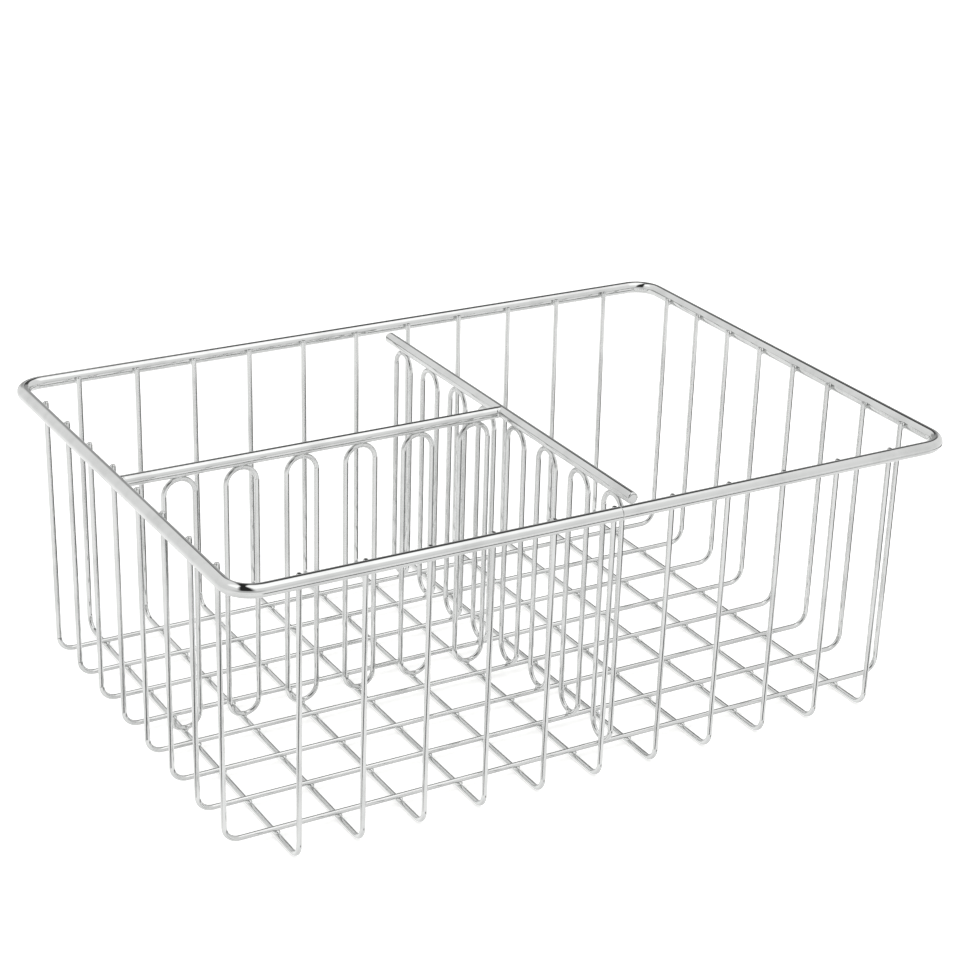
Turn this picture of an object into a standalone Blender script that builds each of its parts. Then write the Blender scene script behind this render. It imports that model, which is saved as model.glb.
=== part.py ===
# Pot lid organizer: a chrome plated basket of welded round wire, split by two looped dividers into three bays.
# Metres, +Z up, +X to the right along the long side, +Y to the back. The origin is on the floor, at the middle.
from math import cos, pi, tan

import bpy
from mathutils import Quaternion, Vector

# Overall sizes, measured over the outsides of the wires
BASKET_LENGTH = 0.356
BASKET_DEPTH = 0.254
BASKET_HEIGHT = 0.1335

# Wire diameters: the rim's, the divider bars' and that of all the other wires
RIM_WIRE = 0.006
BAR_WIRE = 0.0054
LIGHT_WIRE = 0.0024

# Bends, measured to the middle of the wire
RIM_CORNER_RADIUS = 0.012
FLOOR_BEND_RADIUS = 0.007

# Walls: how far a wall wire leans in on its way down, and how far its end stands above the rim's middle
WALL_LEAN = 0.001
WIRE_END_RISE = 0.0014

# Dividers: how far the bars lie below the rim, how wide the loops are, and how far a free bar end passes its last loop
BAR_DROP = 0.001
LOOP_WIDTH = 0.0147
BAR_OVERHANG = 0.0065

# The room that a weld takes up between two wires
WELD_GAP = 0.0003

# Counts of wires, and of the cross wires to the left of the main divider
LONG_WIRES = 8
CROSS_WIRES = 11
CROSS_WIRES_LEFT_OF_DIVIDER = 6

# Facets: the rim and the bars have more than the light wires
HEAVY_SIDES = 12
LIGHT_SIDES = 8
STEPS_PER_RIGHT_ANGLE = 6

CHROME_COLOUR = (0.83, 0.84, 0.85, 1.0)
CHROME_METALLIC = 1.0
CHROME_ROUGHNESS = 0.12

# Sizes that follow from the ones above
rim_radius = RIM_WIRE / 2
bar_radius = BAR_WIRE / 2
light_radius = LIGHT_WIRE / 2
rim_half_length = BASKET_LENGTH / 2 - rim_radius
rim_half_depth = BASKET_DEPTH / 2 - rim_radius
rim_level = BASKET_HEIGHT - rim_radius
cross_floor_level = light_radius
long_floor_level = cross_floor_level + LIGHT_WIRE + WELD_GAP
wall_wire_inset = rim_radius + light_radius + WELD_GAP
cross_pitch = 2 * rim_half_length / (CROSS_WIRES + 1)
long_pitch = 2 * rim_half_depth / (LONG_WIRES + 1)
bar_level = rim_level - BAR_DROP
loop_top_level = bar_level - bar_radius - WELD_GAP - light_radius


def cross_wire_place(number):
    """X of a wire that runs front to back, counted from the left."""
    return number * cross_pitch - rim_half_length


def long_wire_place(number):
    """Y of a wire that runs left to right, counted from the front."""
    return number * long_pitch - rim_half_depth


# The main divider stands midway between two cross wires, and the side divider midway along the depth
main_divider_place = cross_wire_place(CROSS_WIRES_LEFT_OF_DIVIDER) + cross_pitch / 2
side_divider_place = (long_wire_place(LONG_WIRES // 2) + long_wire_place(LONG_WIRES // 2 + 1)) / 2


def rounded_path(corners, radius, closed):
    """The corners joined by straight runs, with an arc of this radius at each bend."""
    points = []
    last = len(corners) - 1
    for index, corner in enumerate(corners):
        if not closed and index in (0, last):
            points.append(corner)
            continue
        incoming = (corner - corners[index - 1]).normalized()
        outgoing = (corners[(index + 1) % len(corners)] - corner).normalized()
        turn = incoming.angle(outgoing)
        axis = incoming.cross(outgoing).normalized()
        start = corner - incoming * radius * tan(turn / 2)
        centre = start + axis.cross(incoming) * radius
        steps = max(2, round(STEPS_PER_RIGHT_ANGLE * turn / (pi / 2)))
        for step in range(steps + 1):
            points.append(centre + Quaternion(axis, turn * step / steps) @ (start - centre))
    return without_repeats(points, closed)


def without_repeats(points, closed):
    """Drops a point that lies on the one before it, as where two arcs meet."""
    nearest = light_radius / 100
    kept = points[:1]
    for point in points[1:]:
        if (point - kept[-1]).length > nearest:
            kept.append(point)
    if closed and (kept[0] - kept[-1]).length <= nearest:
        kept.pop()
    return kept


def chrome(name):
    """Bright chrome plating over steel wire."""
    material = bpy.data.materials.new(name)
    material.use_nodes = True
    shader = material.node_tree.nodes["Principled BSDF"]
    shader.inputs["Base Color"].default_value = CHROME_COLOUR
    shader.inputs["Metallic"].default_value = CHROME_METALLIC
    shader.inputs["Roughness"].default_value = CHROME_ROUGHNESS
    material.diffuse_color = CHROME_COLOUR
    return material


def wire(name, path, diameter, sides, material, closed=False):
    """A round wire along a path. Its flats lie at the true radius and face up, down and sideways."""
    curve = bpy.data.curves.new(name, "CURVE")
    curve.dimensions = "3D"
    curve.bevel_depth = diameter / 2 / cos(pi / sides)
    curve.bevel_resolution = (sides - 4) // 2
    curve.use_fill_caps = not closed
    spline = curve.splines.new("POLY")
    spline.points.add(len(path) - 1)
    for point, place in zip(spline.points, path):
        point.co = (*place, 1)
        point.tilt = pi / sides
    spline.use_cyclic_u = closed
    spline.use_smooth = True
    curve.materials.append(material)
    piece = bpy.data.objects.new(name, curve)
    return piece


def make_rim(material):
    """One heavy wire bent to a rectangle, its two ends butt welded."""
    corners = [
        Vector((across * rim_half_length, deep * rim_half_depth, rim_level))
        for across, deep in ((-1, -1), (1, -1), (1, 1), (-1, 1))
    ]
    path = rounded_path(corners, RIM_CORNER_RADIUS, closed=True)
    return [wire("rim", path, RIM_WIRE, HEAVY_SIDES, material, closed=True)]


def wall_and_floor_path(half_span, floor_level):
    """Down one wall, over the floor and up the other wall, in a plane where x is along the floor."""
    top = half_span - wall_wire_inset
    foot = top - WALL_LEAN
    lean_per_height = WALL_LEAN / (rim_level - floor_level)
    end = top + WIRE_END_RISE * lean_per_height
    end_level = rim_level + WIRE_END_RISE
    corners = [
        Vector((-end, 0, end_level)),
        Vector((-foot, 0, floor_level)),
        Vector((foot, 0, floor_level)),
        Vector((end, 0, end_level)),
    ]
    return rounded_path(corners, FLOOR_BEND_RADIUS, closed=False)


def make_long_wires(material):
    """The wires that run left to right. Their floor runs lie on top of the cross wires."""
    profile = wall_and_floor_path(rim_half_length, long_floor_level)
    pieces = []
    for number in range(1, LONG_WIRES + 1):
        place = long_wire_place(number)
        path = [Vector((p.x, place, p.z)) for p in profile]
        pieces.append(wire(f"long_wire_{number}", path, LIGHT_WIRE, LIGHT_SIDES, material))
    return pieces


def make_cross_wires(material):
    """The wires that run front to back. The basket stands on their floor runs."""
    profile = wall_and_floor_path(rim_half_depth, cross_floor_level)
    pieces = []
    for number in range(1, CROSS_WIRES + 1):
        place = cross_wire_place(number)
        path = [Vector((place, p.x, p.z)) for p in profile]
        pieces.append(wire(f"cross_wire_{number}", path, LIGHT_WIRE, LIGHT_SIDES, material))
    return pieces


def loop_path(bottom_level):
    """A tall loop with round ends, standing on x = 0 in the plane y = 0."""
    half_width = LOOP_WIDTH / 2
    corners = [
        Vector((-half_width, 0, bottom_level)),
        Vector((half_width, 0, bottom_level)),
        Vector((half_width, 0, loop_top_level)),
        Vector((-half_width, 0, loop_top_level)),
    ]
    return rounded_path(corners, half_width, closed=True)


def make_main_divider(bar_material, loop_material):
    """A bar from front to back over a row of loops, one standing on each long wire."""
    bottom_level = long_floor_level + LIGHT_WIRE + WELD_GAP
    end = long_wire_place(LONG_WIRES) + LOOP_WIDTH / 2 + light_radius + BAR_OVERHANG
    ends = [Vector((main_divider_place, y, bar_level)) for y in (-end, end)]
    pieces = [wire("main_divider_bar", ends, BAR_WIRE, HEAVY_SIDES, bar_material)]
    profile = loop_path(bottom_level)
    for number in range(1, LONG_WIRES + 1):
        place = long_wire_place(number)
        path = [Vector((main_divider_place, place + p.x, p.z)) for p in profile]
        name = f"main_divider_loop_{number}"
        pieces.append(wire(name, path, LIGHT_WIRE, LIGHT_SIDES, loop_material, closed=True))
    return pieces


def make_side_divider(bar_material, loop_material):
    """A bar from the left of the rim to the main divider, over a loop on each cross wire that it passes."""
    bottom_level = cross_floor_level + LIGHT_WIRE + WELD_GAP
    left = -rim_half_length + rim_radius + WELD_GAP
    right = main_divider_place - bar_radius - WELD_GAP
    ends = [Vector((x, side_divider_place, bar_level)) for x in (left, right)]
    pieces = [wire("side_divider_bar", ends, BAR_WIRE, HEAVY_SIDES, bar_material)]
    profile = loop_path(bottom_level)
    for number in range(1, CROSS_WIRES_LEFT_OF_DIVIDER + 1):
        place = cross_wire_place(number)
        path = [Vector((place + p.x, side_divider_place, p.z)) for p in profile]
        name = f"side_divider_loop_{number}"
        pieces.append(wire(name, path, LIGHT_WIRE, LIGHT_SIDES, loop_material, closed=True))
    return pieces


def main():
    for obj in list(bpy.data.objects):
        bpy.data.objects.remove(obj, do_unlink=True)
    basket = bpy.data.collections.new("pot_lid_organizer")
    bpy.context.scene.collection.children.link(basket)

    bar_chrome = chrome("divider_bar_chrome")
    loop_chrome = chrome("divider_loop_chrome")
    pieces = make_rim(chrome("rim_chrome"))
    pieces += make_long_wires(chrome("long_wire_chrome"))
    pieces += make_cross_wires(chrome("cross_wire_chrome"))
    pieces += make_main_divider(bar_chrome, loop_chrome)
    pieces += make_side_divider(bar_chrome, loop_chrome)
    for piece in pieces:
        basket.objects.link(piece)


main()
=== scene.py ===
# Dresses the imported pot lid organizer: smooth chrome wires, weld nuggets, a pale floor and soft studio light.
from math import pi, radians, tan

import bpy
from mathutils import Matrix, Vector


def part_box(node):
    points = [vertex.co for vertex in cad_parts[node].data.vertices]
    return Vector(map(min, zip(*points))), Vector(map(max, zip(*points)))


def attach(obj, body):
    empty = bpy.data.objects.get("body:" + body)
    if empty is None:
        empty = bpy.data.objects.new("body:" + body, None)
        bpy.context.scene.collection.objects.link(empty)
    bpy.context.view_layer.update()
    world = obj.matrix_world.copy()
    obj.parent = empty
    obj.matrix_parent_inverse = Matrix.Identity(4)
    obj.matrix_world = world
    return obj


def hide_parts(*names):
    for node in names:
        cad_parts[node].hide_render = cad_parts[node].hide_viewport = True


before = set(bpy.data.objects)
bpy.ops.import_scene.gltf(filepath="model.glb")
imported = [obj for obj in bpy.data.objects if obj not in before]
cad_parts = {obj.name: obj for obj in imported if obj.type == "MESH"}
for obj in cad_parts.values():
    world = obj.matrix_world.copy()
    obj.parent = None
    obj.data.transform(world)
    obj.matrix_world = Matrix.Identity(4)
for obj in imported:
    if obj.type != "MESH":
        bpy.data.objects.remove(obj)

scene = bpy.context.scene
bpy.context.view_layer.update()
millimetre = 0.001
print("frame loaded,", len(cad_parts), "wires")


# Small tools

def addNode(tree, kind, inputs=None, **settings):
    # One node with its settings, which come first because they decide which of the sockets that share a name is in
    # use. An input takes a value, or the output socket that feeds it.
    node = tree.nodes.new(kind)
    for name, value in settings.items():
        setattr(node, name, value)
    for socket, value in (inputs or {}).items():
        if isinstance(value, bpy.types.NodeSocket):
            tree.links.new(value, node.inputs[socket])
        else:
            node.inputs[socket].default_value = value
    return node


def linearColour(hexCode):
    # sRGB hex to the linear values that Blender's sockets take
    channels = [int(hexCode[at:at + 2], 16) / 255 for at in (1, 3, 5)]
    linear = [c / 12.92 if c <= 0.04045 else ((c + 0.055) / 1.055) ** 2.4 for c in channels]
    return (*linear, 1.0)


def newNodeGroup(name, sockets):
    # A Geometry Nodes group whose named inputs come from a dictionary of socket kinds
    tree = bpy.data.node_groups.new(name, "GeometryNodeTree")
    for label, kind in sockets.items():
        tree.interface.new_socket(label, in_out="INPUT", socket_type=kind)
    tree.interface.new_socket("Geometry", in_out="OUTPUT", socket_type="NodeSocketGeometry")
    return tree, addNode(tree, "NodeGroupInput")


def growPiece(name, places, edges, tree, values, spreads=None, bends=None):
    # Runs a tree on a few points and keeps the result as a plain mesh. A point can carry its own spread or bend
    # radius, which the tree reads by name.
    guide = bpy.data.meshes.new(name + "Guide")
    guide.from_pydata(places, edges, [])
    if spreads:
        guide.attributes.new("spread", "FLOAT_VECTOR", "POINT").data.foreach_set(
            "vector", [size for spread in spreads for size in spread])
    if bends:
        guide.attributes.new("bend", "FLOAT", "POINT").data.foreach_set("value", bends)
    piece = bpy.data.objects.new(name, guide)
    scene.collection.objects.link(piece)
    modifier = piece.modifiers.new("grow", "NODES")
    modifier.node_group = tree
    for item in tree.interface.items_tree:
        if item.in_out == "INPUT" and item.name in values:
            modifier[item.identifier] = values[item.name]
    graph = bpy.context.evaluated_depsgraph_get()
    grown = bpy.data.meshes.new_from_object(
        piece.evaluated_get(graph), preserve_all_data_layers=True, depsgraph=graph)
    piece.modifiers.remove(modifier)
    piece.data = grown
    grown.name = name
    return piece


def dress(piece, nodes):
    # The piece stands for these CAD wires and moves with the basket.
    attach(piece, "root")
    if nodes:
        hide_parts(*nodes)
    print(piece.name, "made,", len(piece.data.polygons), "faces")


def middle(node):
    low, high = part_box(node)
    return (low + high) / 2


def numberedNodes(stem):
    # The nodes whose names are this stem and a number, in the order of the numbers
    named = [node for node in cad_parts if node.startswith(stem)]
    return sorted(named, key=lambda node: int(node[len(stem):]))


def chain(count, closed=False):
    # Edges from each point to the next
    edges = [(at, at + 1) for at in range(count - 1)]
    return edges + [(count - 1, 0)] if closed else edges


# Materials

# Sizes, spacings and heights in millimetres. The haze sets in where its noise passes the first limit and is full at
# the second.
chromePlating = {
    "brightColour": "#D8D9D8",
    "hazeColour": "#CBCCCB",
    "roughness": 0.03,
    "hazeRoughness": 0.08,
    "hazeSize": 22,
    "hazeLimits": (0.42, 0.72),
    "rippleSize": 7,
    "rippleHeight": 0.025,
    "lightWireRippleHeight": 0.008,
    "drawLineSpacing": 0.5,
    "drawLineHeight": 0.0008,
}


def chromeOverDrawnWire(name, values, rippleHeight):
    # Bright chrome over nickel on cold drawn steel wire. It mirrors the studio sharply, with faint die lines along
    # the wire, a slow ripple from the plating and cloudy patches where the bath left it duller.
    material = bpy.data.materials.new(name)
    material.use_nodes = True
    tree = material.node_tree
    shader = tree.nodes["Principled BSDF"]
    shader.inputs["Metallic"].default_value = 1.0
    perMetre = 1 / millimetre
    place = addNode(tree, "ShaderNodeTexCoord").outputs["Object"]
    haze = addNode(tree, "ShaderNodeTexNoise", {
        "Vector": place, "Scale": perMetre / values["hazeSize"], "Detail": 3.0, "Roughness": 0.55})
    start, full = values["hazeLimits"]
    hazeMask = addNode(tree, "ShaderNodeMapRange", {
        "Value": haze.outputs["Fac"], "From Min": start, "From Max": full}, interpolation_type="SMOOTHSTEP")
    colour = addNode(tree, "ShaderNodeMix", {
        "Factor": hazeMask.outputs["Result"],
        "A": linearColour(values["brightColour"]), "B": linearColour(values["hazeColour"])}, data_type="RGBA")
    rough = addNode(tree, "ShaderNodeMapRange", {
        "Value": hazeMask.outputs["Result"], "To Min": values["roughness"], "To Max": values["hazeRoughness"]})
    ripple = addNode(tree, "ShaderNodeTexNoise", {
        "Vector": place, "Scale": perMetre / values["rippleSize"], "Detail": 2.0, "Roughness": 0.5})
    rippleBump = addNode(tree, "ShaderNodeBump", {
        "Height": ripple.outputs["Fac"], "Strength": 1.0, "Distance": rippleHeight * millimetre})
    # Die lines run the length of the wire, so they read the wire's own straightened coordinates.
    around = addNode(tree, "ShaderNodeAttribute", attribute_name="around")
    lines = addNode(tree, "ShaderNodeTexNoise", {
        "Vector": around.outputs["Vector"], "Scale": perMetre / values["drawLineSpacing"], "Detail": 2.0})
    lineBump = addNode(tree, "ShaderNodeBump", {
        "Height": lines.outputs["Fac"], "Strength": 1.0, "Distance": values["drawLineHeight"] * millimetre,
        "Normal": rippleBump.outputs["Normal"]})
    for socket, value in {
            "Base Color": colour.outputs["Result"], "Roughness": rough.outputs["Result"],
            "Normal": lineBump.outputs["Normal"]}.items():
        tree.links.new(value, shader.inputs[socket])
    return material


# The light wires come straighter off the draw bench, so they ripple less.
materials = {slot: chromeOverDrawnWire(slot, chromePlating, chromePlating[height]) for slot, height in (
    ("rim_chrome", "rippleHeight"), ("divider_bar_chrome", "rippleHeight"),
    ("long_wire_chrome", "lightWireRippleHeight"), ("cross_wire_chrome", "lightWireRippleHeight"),
    ("divider_loop_chrome", "lightWireRippleHeight"))}
print("materials made")


# Wires: corners joined by bends, swept with a round section, given rounded cut ends and repeated along a line

# A cut end is drawn out in steps, each with its share of the tip's length and its scale across. The first is short
# and straight, which keeps the shading of the run true to its end, and the others leave a flat in the middle.
tipSteps = ((0.06, 1.0), (0.36, 0.976), (0.305, 0.929), (0.204, 0.886), (0.071, 0.847))


def makeBentWireTree():
    tree, given = newNodeGroup("bentWire", {
        "Geometry": "NodeSocketGeometry", "Wire Radius": "NodeSocketFloat", "Sides": "NodeSocketInt",
        "Bend Steps": "NodeSocketInt", "Tip Length": "NodeSocketFloat",
        "Wires": "NodeSocketInt", "First Place": "NodeSocketVector", "Pitch": "NodeSocketVector",
        "Chrome": "NodeSocketMaterial"})
    value = given.outputs
    path = addNode(tree, "GeometryNodeMeshToCurve", {"Mesh": value["Geometry"]})
    # Each point has its own bend radius, none where the wire runs straight through.
    bend = addNode(tree, "GeometryNodeInputNamedAttribute", {"Name": "bend"}, data_type="FLOAT")
    bent = addNode(tree, "GeometryNodeFilletCurve", {
        "Curve": path.outputs["Curve"], "Count": value["Bend Steps"], "Radius": bend.outputs["Attribute"],
        "Limit Radius": True}, mode="POLY")
    section = addNode(tree, "GeometryNodeCurvePrimitiveCircle", {
        "Resolution": value["Sides"], "Radius": value["Wire Radius"]})
    # The place round the section, in metres across it, for the die lines
    marked = addNode(tree, "GeometryNodeStoreNamedAttribute", {
        "Geometry": section.outputs["Curve"], "Name": "around",
        "Value": addNode(tree, "GeometryNodeInputPosition").outputs["Position"]},
        data_type="FLOAT_VECTOR", domain="POINT")
    solid = addNode(tree, "GeometryNodeCurveToMesh", {
        "Curve": bent.outputs["Curve"], "Profile Curve": marked.outputs["Geometry"], "Fill Caps": True})
    # A cut end is the one face with more than four corners.
    corners = addNode(tree, "GeometryNodeCornersOfFace")
    isEnd = addNode(tree, "FunctionNodeCompare", {"A": corners.outputs["Total"], "B": 4},
                    data_type="INT", operation="GREATER_THAN")
    mesh, end = solid.outputs["Mesh"], isEnd.outputs["Result"]
    for share, narrower in tipSteps:
        length = addNode(tree, "ShaderNodeMath", {0: value["Tip Length"], 1: share}, operation="MULTIPLY")
        drawn = addNode(tree, "GeometryNodeExtrudeMesh", {
            "Mesh": mesh, "Selection": end, "Offset Scale": length.outputs["Value"], "Individual": False},
            mode="FACES")
        shrunk = addNode(tree, "GeometryNodeScaleElements", {
            "Geometry": drawn.outputs["Mesh"], "Selection": drawn.outputs["Top"], "Scale": narrower},
            domain="FACE")
        mesh, end = shrunk.outputs["Geometry"], drawn.outputs["Top"]
    # A filled end has sharp edges, and so has what is drawn out of it. Only the edge of the flat stays sharp.
    rounded = addNode(tree, "GeometryNodeSetShadeSmooth", {"Geometry": mesh}, domain="EDGE")
    finished = addNode(tree, "GeometryNodeSetShadeSmooth", {
        "Geometry": rounded.outputs["Geometry"], "Selection": end, "Shade Smooth": False}, domain="EDGE")
    row = addNode(tree, "GeometryNodeMeshLine", {
        "Count": value["Wires"], "Start Location": value["First Place"], "Offset": value["Pitch"]},
        mode="OFFSET")
    repeated = addNode(tree, "GeometryNodeInstanceOnPoints", {
        "Points": row.outputs["Mesh"], "Instance": finished.outputs["Geometry"]})
    real = addNode(tree, "GeometryNodeRealizeInstances", {"Geometry": repeated.outputs["Instances"]})
    smooth = addNode(tree, "GeometryNodeSetShadeSmooth", {"Geometry": real.outputs["Geometry"]})
    plated = addNode(tree, "GeometryNodeSetMaterial", {
        "Geometry": smooth.outputs["Geometry"], "Material": value["Chrome"]})
    addNode(tree, "NodeGroupOutput", {"Geometry": plated.outputs["Geometry"]})
    return tree


bentWire = makeBentWireTree()

# Lengths in millimetres
wireSizes = {
    "heavySides": 32,
    "lightSides": 16,
    "heavyBendSteps": 18,
    "lightBendSteps": 10,
    "loopBendSteps": 12,
    "ringBesideBend": 0.3,
    "heavyTip": 0.9,
    "lightTip": 0.7,
    "rimBend": 12,
    "floorBend": 7,
    "wallLean": 1,
    "rimSeamChamfer": 0.25,
    "rimSeamStep": 0.12,
    "barReach": 3,
    "loopSetDown": 0.6,
}

rimLow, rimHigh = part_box("rim")
rimRadius = (rimHigh.z - rimLow.z) / 2
lightLow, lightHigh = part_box("cross_wire_1")
lightRadius = (lightHigh.x - lightLow.x) / 2
rimLevel = (rimLow.z + rimHigh.z) / 2


def bentPath(corners, radius, closed=False):
    # Each corner gets a point on both sides, a hair outside the bend, where the run is long enough. The extra ring
    # of faces there keeps the smooth shading of the straight run true to its end.
    outside = wireSizes["ringBesideBend"] * millimetre
    points, bends = [], []
    for at, corner in enumerate(corners):
        if not closed and at in (0, len(corners) - 1):
            points.append(corner)
            bends.append(0.0)
            continue
        runs = [corners[other % len(corners)] - corner for other in (at - 1, at + 1)]
        reach = radius * tan((pi - runs[0].angle(runs[1])) / 2) + outside
        before, after = [[corner + run.normalized() * reach] if run.length > 2 * reach else [] for run in runs]
        points += [*before, corner, *after]
        bends += [*[0.0 for _ in before], radius, *[0.0 for _ in after]]
    return points, bends


def heavyWire(name, corners, radius, slot, tip):
    # One wire through these corners, shortened by the length of its own tips
    first = (corners[1] - corners[0]).normalized() * tip
    last = (corners[-2] - corners[-1]).normalized() * tip
    path, bends = bentPath([corners[0] + first, *corners[1:-1], corners[-1] + last],
                           wireSizes["rimBend"] * millimetre)
    return growPiece(name, path, chain(len(path)), bentWire, {
        "Wire Radius": radius, "Sides": wireSizes["heavySides"], "Bend Steps": wireSizes["heavyBendSteps"],
        "Tip Length": tip, "Wires": 1, "First Place": (0, 0, 0), "Pitch": (0, 0, 0),
        "Chrome": materials[slot]}, bends=bends)


# Rim: one wire whose ends meet in a butt weld in the front run, one end a hair lower than the other
def makeRim():
    halfLength, halfDepth = rimHigh.x - rimRadius, rimHigh.y - rimRadius
    step = wireSizes["rimSeamStep"] * millimetre
    corners = [Vector((across * halfLength, deep * halfDepth, rimLevel))
               for across, deep in ((0, -1), (1, -1), (1, 1), (-1, 1), (-1, -1), (0, -1))]
    corners[0].z -= step
    return heavyWire("rimWire", corners, rimRadius, "rim_chrome", wireSizes["rimSeamChamfer"] * millimetre)


dress(makeRim(), ["rim"])


# Floor and wall wires: down one wall, over the floor and up the other
def makeWallAndFloorWires(name, nodes, along, slot):
    low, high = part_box(nodes[0])
    tip = wireSizes["lightTip"] * millimetre
    lean = wireSizes["wallLean"] * millimetre
    top, bottom = high.z - tip, low.z + lightRadius
    across = high[along] - lightRadius
    profile = [(-across, top), (-across + lean, bottom), (across - lean, bottom), (across, top)]
    path, bends = bentPath(
        [Vector((place, 0, level) if along == 0 else (0, place, level)) for place, level in profile],
        wireSizes["floorBend"] * millimetre)
    first, last = middle(nodes[0]), middle(nodes[-1])
    side = 1 - along
    start, pitch = [0, 0, 0], [0, 0, 0]
    start[side] = first[side]
    pitch[side] = (last[side] - first[side]) / (len(nodes) - 1)
    return growPiece(name, path, chain(len(path)), bentWire, {
        "Wire Radius": lightRadius, "Sides": wireSizes["lightSides"], "Bend Steps": wireSizes["lightBendSteps"],
        "Tip Length": tip, "Wires": len(nodes), "First Place": start, "Pitch": pitch,
        "Chrome": materials[slot]}, bends=bends)


longNodes = numberedNodes("long_wire_")
crossNodes = numberedNodes("cross_wire_")
dress(makeWallAndFloorWires("longWires", longNodes, 0, "long_wire_chrome"), longNodes)
dress(makeWallAndFloorWires("crossWires", crossNodes, 1, "cross_wire_chrome"), crossNodes)


# Divider bars: straight and a little thinner than the rim, the main one with two free cut ends, the side one welded in
def makeBar(name, node, along, reach):
    low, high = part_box(node)
    start, end = middle(node), middle(node)
    start[along], end[along] = low[along] - reach, high[along] + reach
    return heavyWire(name, [start, end], (high.z - low.z) / 2, "divider_bar_chrome",
                     wireSizes["heavyTip"] * millimetre)


dress(makeBar("mainDividerBar", "main_divider_bar", 1, 0), ["main_divider_bar"])
dress(makeBar("sideDividerBar", "side_divider_bar", 0, wireSizes["barReach"] * millimetre),
      ["side_divider_bar"])


# Divider loops: tall closed ovals, set down a little into the bar above by the weld
def makeLoops(name, nodes, along):
    low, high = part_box(nodes[0])
    setDown = wireSizes["loopSetDown"] * millimetre
    half = (high[along] - low[along]) / 2 - lightRadius
    bottom, top = low.z + lightRadius, high.z - lightRadius + setDown
    profile = [(-half, bottom), (half, bottom), (half, top), (-half, top)]
    path, bends = bentPath(
        [Vector((place, 0, level) if along == 0 else (0, place, level)) for place, level in profile],
        half, closed=True)
    first, last = middle(nodes[0]), middle(nodes[-1])
    pitch = [0, 0, 0]
    pitch[along] = (last[along] - first[along]) / (len(nodes) - 1)
    return growPiece(name, path, chain(len(path), closed=True), bentWire, {
        "Wire Radius": lightRadius, "Sides": wireSizes["lightSides"], "Bend Steps": wireSizes["loopBendSteps"],
        "Tip Length": 0.0, "Wires": len(nodes), "First Place": (first.x, first.y, 0), "Pitch": pitch,
        "Chrome": materials["divider_loop_chrome"]}, bends=bends)


mainLoopNodes = numberedNodes("main_divider_loop_")
sideLoopNodes = numberedNodes("side_divider_loop_")
dress(makeLoops("mainDividerLoops", mainLoopNodes, 1), mainLoopNodes)
dress(makeLoops("sideDividerLoops", sideLoopNodes, 0), sideLoopNodes)


# Weld nuggets: the metal squeezed out where two wires were pressed together and welded
def makeNuggetTree():
    tree, given = newNodeGroup("weldNuggets", {
        "Geometry": "NodeSocketGeometry", "Smallest": "NodeSocketVector", "Largest": "NodeSocketVector",
        "Unevenness": "NodeSocketFloat", "Lump Size": "NodeSocketFloat", "Seed": "NodeSocketInt",
        "Chrome": "NodeSocketMaterial"})
    value = given.outputs
    ball = addNode(tree, "GeometryNodeMeshIcoSphere", {"Radius": 1.0, "Subdivisions": 2})
    spread = addNode(tree, "GeometryNodeInputNamedAttribute", {"Name": "spread"}, data_type="FLOAT_VECTOR")
    sizes = addNode(tree, "FunctionNodeRandomValue", {
        "Min": value["Smallest"], "Max": value["Largest"], "Seed": value["Seed"]}, data_type="FLOAT_VECTOR")
    scale = addNode(tree, "ShaderNodeVectorMath", {
        0: spread.outputs["Attribute"], 1: sizes.outputs["Value"]}, operation="MULTIPLY")
    welds = addNode(tree, "GeometryNodeInstanceOnPoints", {
        "Points": value["Geometry"], "Instance": ball.outputs["Mesh"], "Scale": scale.outputs["Vector"]})
    real = addNode(tree, "GeometryNodeRealizeInstances", {"Geometry": welds.outputs["Instances"]})
    perMetre = addNode(tree, "ShaderNodeMath", {0: 1.0, 1: value["Lump Size"]}, operation="DIVIDE")
    lumps = addNode(tree, "ShaderNodeTexNoise", {"Scale": perMetre.outputs["Value"], "Detail": 1.0})
    rise = addNode(tree, "ShaderNodeMapRange", {"Value": lumps.outputs["Fac"], "To Min": -1.0, "To Max": 1.0})
    push = addNode(tree, "ShaderNodeMath", {0: rise.outputs["Result"], 1: value["Unevenness"]},
                   operation="MULTIPLY")
    offset = addNode(tree, "ShaderNodeVectorMath", {
        0: addNode(tree, "GeometryNodeInputNormal").outputs["Normal"], "Scale": push.outputs["Value"]},
        operation="SCALE")
    uneven = addNode(tree, "GeometryNodeSetPosition", {
        "Geometry": real.outputs["Geometry"], "Offset": offset.outputs["Vector"]})
    smooth = addNode(tree, "GeometryNodeSetShadeSmooth", {"Geometry": uneven.outputs["Geometry"]})
    plated = addNode(tree, "GeometryNodeSetMaterial", {
        "Geometry": smooth.outputs["Geometry"], "Material": value["Chrome"]})
    addNode(tree, "NodeGroupOutput", {"Geometry": plated.outputs["Geometry"]})
    return tree


# Half the width of each kind of nugget along X, Y and Z, its unevenness and its offsets, in millimetres, and the
# random scale that each one gets
nuggetSizes = {
    "floor": (1.5, 2.3, 1.05),
    "rimAcross": (1.5, 1.5, 1.9),
    "rimAlong": (1.5, 1.5, 1.9),
    "loopEnd": (1.3, 1.3, 0.9),
    "barJoint": (1.7, 3.5, 2.6),
    "unevenness": 0.35,
    "lumpSize": 1.6,
    "rimInset": 0.2,
    "rimDrop": 0.7,
    "loopOffset": 0.1,
    "smallest": (0.86, 0.86, 0.9),
    "largest": (1.14, 1.14, 1.1),
    "seed": 4,
}


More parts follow.
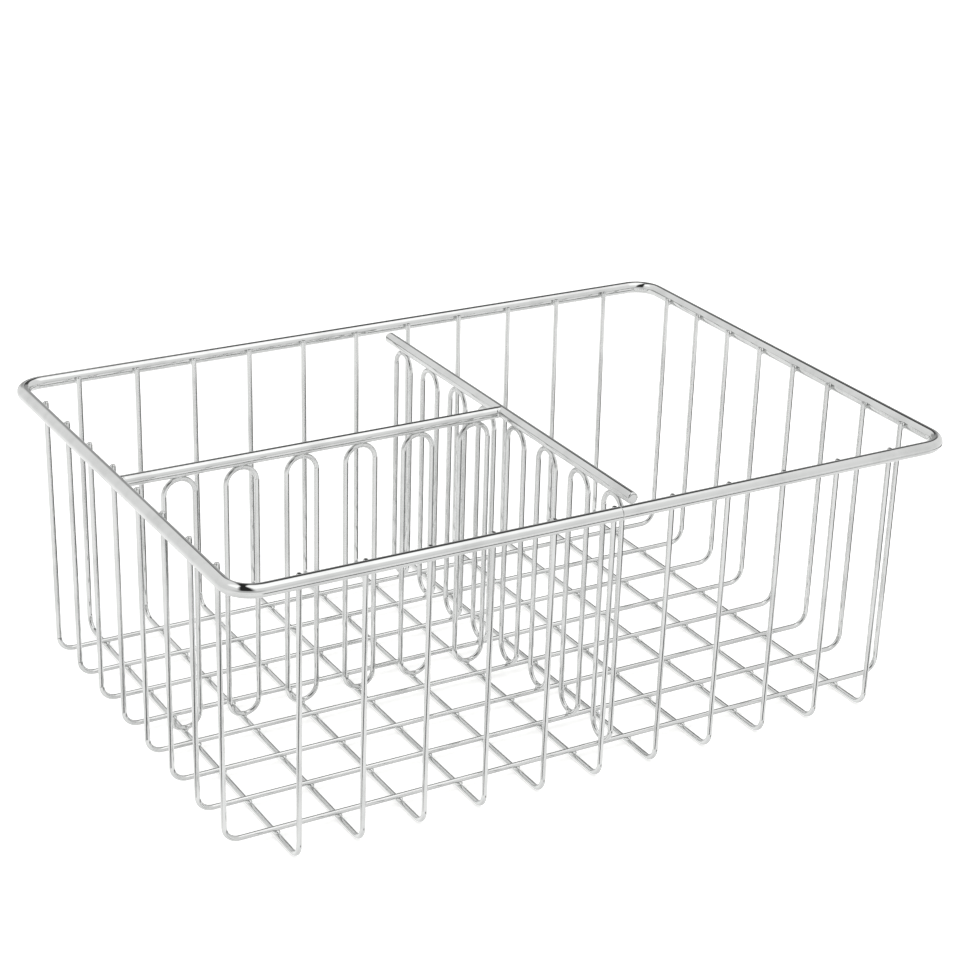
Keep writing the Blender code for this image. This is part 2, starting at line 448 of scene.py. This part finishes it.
def weldPlaces():
    longPlaces = [middle(node).y for node in longNodes]
    crossPlaces = [middle(node).x for node in crossNodes]
    floorLevel = (lightLow.z + 2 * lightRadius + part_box("long_wire_1")[0].z) / 2
    yield from (((x, y, floorLevel), "floor") for x in crossPlaces for y in longPlaces)
    insetX = rimHigh.x - 2 * rimRadius - nuggetSizes["rimInset"] * millimetre
    insetY = rimHigh.y - 2 * rimRadius - nuggetSizes["rimInset"] * millimetre
    wallLevel = rimLevel - nuggetSizes["rimDrop"] * millimetre
    yield from (((side * insetX, y, wallLevel), "rimAcross") for side in (-1, 1) for y in longPlaces)
    yield from (((x, side * insetY, wallLevel), "rimAlong") for side in (-1, 1) for x in crossPlaces)
    offset = nuggetSizes["loopOffset"] * millimetre
    for node in mainLoopNodes + sideLoopNodes:
        low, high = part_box(node)
        x, y = (low.x + high.x) / 2, (low.y + high.y) / 2
        yield (x, y, low.z - offset), "loopEnd"
        yield (x, y, high.z + offset), "loopEnd"
    low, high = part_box("side_divider_bar")
    level, y = (low.z + high.z) / 2, (low.y + high.y) / 2
    yield (low.x, y, level), "barJoint"
    yield (high.x, y, level), "barJoint"


def makeNuggets():
    welds = list(weldPlaces())
    spreads = [[size * millimetre for size in nuggetSizes[kind]] for _, kind in welds]
    return growPiece("weldNuggets", [place for place, _ in welds], [], makeNuggetTree(), {
        "Smallest": nuggetSizes["smallest"], "Largest": nuggetSizes["largest"],
        "Unevenness": nuggetSizes["unevenness"] * millimetre, "Lump Size": nuggetSizes["lumpSize"] * millimetre,
        "Seed": nuggetSizes["seed"], "Chrome": materials["cross_wire_chrome"]}, spreads)


dress(makeNuggets(), [])


# Studio: a pale floor, and surroundings that the chrome mirrors by direction

# Half the width in metres
floorSheet = {"half": 14.0, "colour": "#F6F6F5", "glow": 0.5, "roughness": 0.95}


def makeFloor():
    half = floorSheet["half"]
    mesh = bpy.data.meshes.new("studioFloor")
    mesh.from_pydata([(-half, -half, 0), (half, -half, 0), (half, half, 0), (-half, half, 0)], [], [(0, 1, 2, 3)])
    floor = bpy.data.objects.new("studioFloor", mesh)
    scene.collection.objects.link(floor)
    material = bpy.data.materials.new("matt white paper sweep")
    material.use_nodes = True
    shader = material.node_tree.nodes["Principled BSDF"]
    shader.inputs["Base Color"].default_value = linearColour(floorSheet["colour"])
    shader.inputs["Roughness"].default_value = floorSheet["roughness"]
    shader.inputs["Emission Color"].default_value = linearColour(floorSheet["colour"])
    shader.inputs["Emission Strength"].default_value = floorSheet["glow"]
    mesh.materials.append(material)
    floor.visible_glossy = False


makeFloor()

# Light by elevation where no panel stands, from straight down to straight up, in degrees
studioLevels = (
    (-90, 0.89), (-60, 0.98), (-35, 1.12), (-20, 1.12), (-8, 1.0), (0, 0.95), (30, 0.95), (50, 1.0), (90, 1.15))
# Panels on the walls: azimuth from +X and elevation of the middle, half the width and the height, all in degrees,
# soft edge as a share of the half, light, and turn in degrees
wallPanels = {
    "greyBackWall": (62, 4, 24, 19, 0.3, 0.4, 0),
    "darkBackWall": (50.5, 38, 14.5, 17, 0.22, 0.08, 0),
    "greyWallBehindCamera": (-118, 6, 45, 10, 0.5, 0.6, 0),
    "tableEdge": (-106, -28.8, 66, 0.9, 0.3, 0.16, 2.2),
    "darkRoomRight": (14, -22.9, 58, 2.8, 0.3, 0.04, 0),
    "cardBelow": (-58, -38.5, 18, 5, 0.3, 0.06, 0),
}
# Panels overhead, laid out on a level sheet at height 1: x and y of the middle, half the width and the length,
# soft edge as a share of the half, light, turn in degrees, and how fast the width grows towards the camera
ceilingPanels = {
    "rightSoftbox": (0.24, -0.2, 0.38, 0.56, 0.33, 1.45, 0, 0),
    "leftSoftbox": (-0.55, 0.0, 0.36, 0.48, 0.25, 1.45, 0, 0),
    "darkStrip": (-0.17, 0.11, 0.08, 3.0, 0.4, 0.03, -32, 15),
}
# The azimuth where no wall panel stands, in degrees, and the sine of the elevation where the overhead sheet ends
openAzimuth = 130
ceilingEdge = 0.05


def makeSurroundings():
    world = bpy.data.worlds.new("whiteStudio")
    scene.world = world
    world.use_nodes = True
    tree = world.node_tree
    direction = addNode(tree, "ShaderNodeSeparateXYZ", {
        "Vector": addNode(tree, "ShaderNodeTexCoord").outputs["Generated"]}).outputs
    azimuth = addNode(tree, "ShaderNodeMath", {0: direction["Y"], 1: direction["X"]}, operation="ARCTAN2")
    # The azimuth starts again where no panel stands.
    unbroken = addNode(tree, "ShaderNodeMath", {
        0: azimuth.outputs["Value"], 1: radians(openAzimuth), 2: radians(openAzimuth - 360)}, operation="WRAP")
    elevation = addNode(tree, "ShaderNodeMath", {0: direction["Z"]}, operation="ARCSINE")
    angles = addNode(tree, "ShaderNodeCombineXYZ", {
        "X": unbroken.outputs["Value"], "Y": elevation.outputs["Value"]}).outputs["Vector"]
    height = addNode(tree, "ShaderNodeMath", {
        0: direction["Z"], 1: ceilingEdge}, operation="MAXIMUM").outputs["Value"]
    sheet = addNode(tree, "ShaderNodeCombineXYZ", {axis: addNode(tree, "ShaderNodeMath", {
        0: direction[axis], 1: height}, operation="DIVIDE").outputs["Value"] for axis in "XY"}).outputs["Vector"]
    above = addNode(tree, "ShaderNodeMath", {
        0: direction["Z"], 1: ceilingEdge}, operation="GREATER_THAN").outputs["Value"]

    ramp = addNode(tree, "ShaderNodeValToRGB", {"Fac": addNode(tree, "ShaderNodeMapRange", {
        "Value": elevation.outputs["Value"], "From Min": radians(-90), "From Max": radians(90)}).outputs["Result"]})
    stops = ramp.color_ramp.elements
    for degrees, _ in studioLevels[1:-1]:
        stops.new((degrees + 90) / 180)
    for stop, (degrees, level) in zip(stops, studioLevels):
        stop.position = (degrees + 90) / 180
        stop.color = (level, level, level, 1)
    light = ramp.outputs["Color"]

    panels = [(angles, 1.0, *[radians(angle) for angle in panel[:4]], *panel[4:], 0)
              for panel in wallPanels.values()]
    panels += [(sheet, above, *panel) for panel in ceilingPanels.values()]
    for place, shown, x, y, halfWidth, halfLength, edge, level, turn, growth in panels:
        # On the panel's own sheet it reaches from -1 to 1 both ways.
        own = addNode(tree, "ShaderNodeMapping", {
            "Vector": place, "Location": (x, y, 0), "Rotation": (0, 0, radians(turn)),
            "Scale": (halfWidth, halfLength, 1)}, vector_type="TEXTURE")
        across, along, _ = addNode(tree, "ShaderNodeSeparateXYZ", {"Vector": own.outputs["Vector"]}).outputs
        nearer = addNode(tree, "ShaderNodeMath", {0: along, 1: -growth}, operation="MULTIPLY")
        wider = addNode(tree, "ShaderNodeMath", {0: nearer.outputs["Value"], 1: 0.0}, operation="MAXIMUM")
        width = addNode(tree, "ShaderNodeMath", {0: wider.outputs["Value"], 1: 1.0}, operation="ADD")
        across = addNode(tree, "ShaderNodeMath", {0: across, 1: width.outputs["Value"]}, operation="DIVIDE").outputs[0]
        mask = shown
        for distance in (across, along):
            apart = addNode(tree, "ShaderNodeMath", {0: distance}, operation="ABSOLUTE")
            inside = addNode(tree, "ShaderNodeMapRange", {
                "Value": apart.outputs["Value"], "From Min": 1 + edge, "From Max": 1 - edge},
                interpolation_type="SMOOTHSTEP")
            mask = addNode(tree, "ShaderNodeMath", {0: mask, 1: inside.outputs["Result"]},
                           operation="MULTIPLY").outputs["Value"]
        light = addNode(tree, "ShaderNodeMix", {
            "Factor": mask, "A": light, "B": (level, level, level, 1)}, data_type="RGBA").outputs["Result"]
    tree.links.new(light, tree.nodes["Background"].inputs["Color"])


makeSurroundings()
scene.view_settings.view_transform = "Standard"
print("studio made")


# Camera at the photograph's place

cameraView = {
    "place": (-0.506014, -0.876065, 0.531181),
    "right": (0.869462, -0.493303, 0.026231),
    "up": (0.173353, 0.354400, 0.918885),
    "lens": 88.986,
    "sensor": 36.0,
}


def makeCamera():
    camera = bpy.data.objects.new("camera", bpy.data.cameras.new("camera"))
    camera.data.lens, camera.data.sensor_width = cameraView["lens"], cameraView["sensor"]
    right, up = Vector(cameraView["right"]).normalized(), Vector(cameraView["up"])
    back = right.cross(up).normalized()
    turn = Matrix((right, back.cross(right), back)).transposed().to_4x4()
    camera.matrix_world = Matrix.Translation(cameraView["place"]) @ turn
    scene.collection.objects.link(camera)
    scene.camera = camera


makeCamera()
